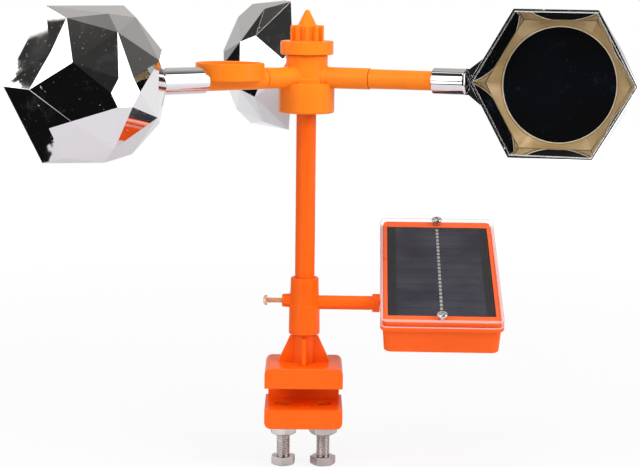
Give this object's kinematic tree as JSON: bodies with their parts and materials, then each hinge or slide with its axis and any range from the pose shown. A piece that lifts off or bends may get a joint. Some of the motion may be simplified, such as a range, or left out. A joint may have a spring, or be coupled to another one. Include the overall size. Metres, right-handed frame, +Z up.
{
  "type": "solar bird repeller",
  "caption": "Wind-turned rotor of faceted mirror cups on a clamped pole, with a tilting solar sounder box on a sliding tee.",
  "frame": {"origin": "on the pole's axis, on the flat underside of the clamp's upper jaw, which rests on the rail", "axes": "+Z up along the pole, -Y out of the clamp's mouth, +X towards the solar box"},
  "size_m": [0.3126, 0.3065, 0.2507],
  "materials": {
    "orange_plastic": "glossy moulded",
    "mirror_chrome": "vacuum plated mirror",
    "tan_plastic": "satin",
    "dark_mirror": "dark mirror gloss",
    "zinc_steel": "zinc plated",
    "bearing_steel": "ground",
    "screw_chrome": "bright",
    "coppery_steel": "coppery plated",
    "bronze": "sintered bronze",
    "clear_plastic": "clear",
    "solar_cells": "dark cells under resin",
    "battery_foil": "foil",
    "board_green": "lacquered board",
    "black_plastic": "matt"
  },
  "bodies": {
    "clamp_and_pole": {"clamp_body": "orange_plastic", "pole": "orange_plastic", "spindle": "bearing_steel", "lock_nut_left": "zinc_steel", "lock_nut_right": "zinc_steel", "washer_left": "zinc_steel", "washer_right": "zinc_steel", "bearing_inner_race": "bearing_steel", "top_washer": "zinc_steel", "top_nut": "zinc_steel"},
    "rotor": {"rotor_hub": "orange_plastic", "cap_nut": "orange_plastic", "bearing_outer_race": "bearing_steel", "top_bush": "bronze", "arm_right": "orange_plastic", "arm_back": "orange_plastic", "arm_left": "orange_plastic", "cup_shell_right": "mirror_chrome", "cup_shell_back": "mirror_chrome", "cup_shell_left": "mirror_chrome", "cup_insert_right": "tan_plastic", "cup_insert_back": "tan_plastic", "cup_insert_left": "tan_plastic", "mirror_disc_right": "dark_mirror", "mirror_disc_back": "dark_mirror", "mirror_disc_left": "dark_mirror"},
    "bearing_balls": {"bearing_cage": "bearing_steel"},
    "tee": {"tee_collar": "orange_plastic", "pivot_screw": "screw_chrome", "pivot_washer": "screw_chrome"},
    "tee_screw": {"set_screw": "coppery_steel"},
    "solar_box": {"solar_tray": "orange_plastic", "panel_frame": "orange_plastic", "solar_panel": "solar_cells", "clear_lid": "clear_plastic", "lid_screw_front": "screw_chrome", "lid_screw_back": "screw_chrome", "battery": "battery_foil", "circuit_board": "board_green", "sounder": "black_plastic", "switch_body": "black_plastic"},
    "switch": {"switch_knob": "black_plastic"},
    "bolt_left": {"clamp_bolt_left": "zinc_steel"},
    "bolt_right": {"clamp_bolt_right": "zinc_steel"}
  },
  "joints": [
    {"name": "rotor_spin", "type": "hinge", "parent": "clamp_and_pole", "child": "rotor", "pos_m": [0, 0, 0.1665], "axis": [0, 0, 1], "continuous": true},
    {"name": "ball_travel", "type": "hinge", "parent": "clamp_and_pole", "child": "bearing_balls", "pos_m": [0, 0, 0.1526], "axis": [0, 0, 1], "continuous": true},
    {"name": "tee_swivel", "type": "hinge", "parent": "clamp_and_pole", "child": "tee", "pos_m": [0, 0, 0.0441], "axis": [0, 0, 1], "range_deg": [-170, 170]},
    {"name": "box_tilt", "type": "hinge", "parent": "tee", "child": "solar_box", "pos_m": [0.04128, -0.00137, 0.0441], "axis": [0.9995, -0.0332, 0], "range_deg": [-36, 36]},
    {"name": "tee_screw_travel", "type": "slide", "parent": "tee", "child": "tee_screw", "axis": [-0.9995, 0.0332, 0], "range_m": [0, 0.006]},
    {"name": "switch_travel", "type": "slide", "parent": "solar_box", "child": "switch", "axis": [0.9995, -0.0332, 0], "range_m": [0, 0.0022]},
    {"name": "bolt_left_travel", "type": "slide", "parent": "clamp_and_pole", "child": "bolt_left", "axis": [0, 0, 1], "range_m": [-0.006, 0.01]},
    {"name": "bolt_right_travel", "type": "slide", "parent": "clamp_and_pole", "child": "bolt_right", "axis": [0, 0, 1], "range_m": [-0.006, 0.01]}
  ],
  "couplings": [
    {"joint": "ball_travel", "follows": "rotor_spin", "ratio": 0.6275}
  ]
}
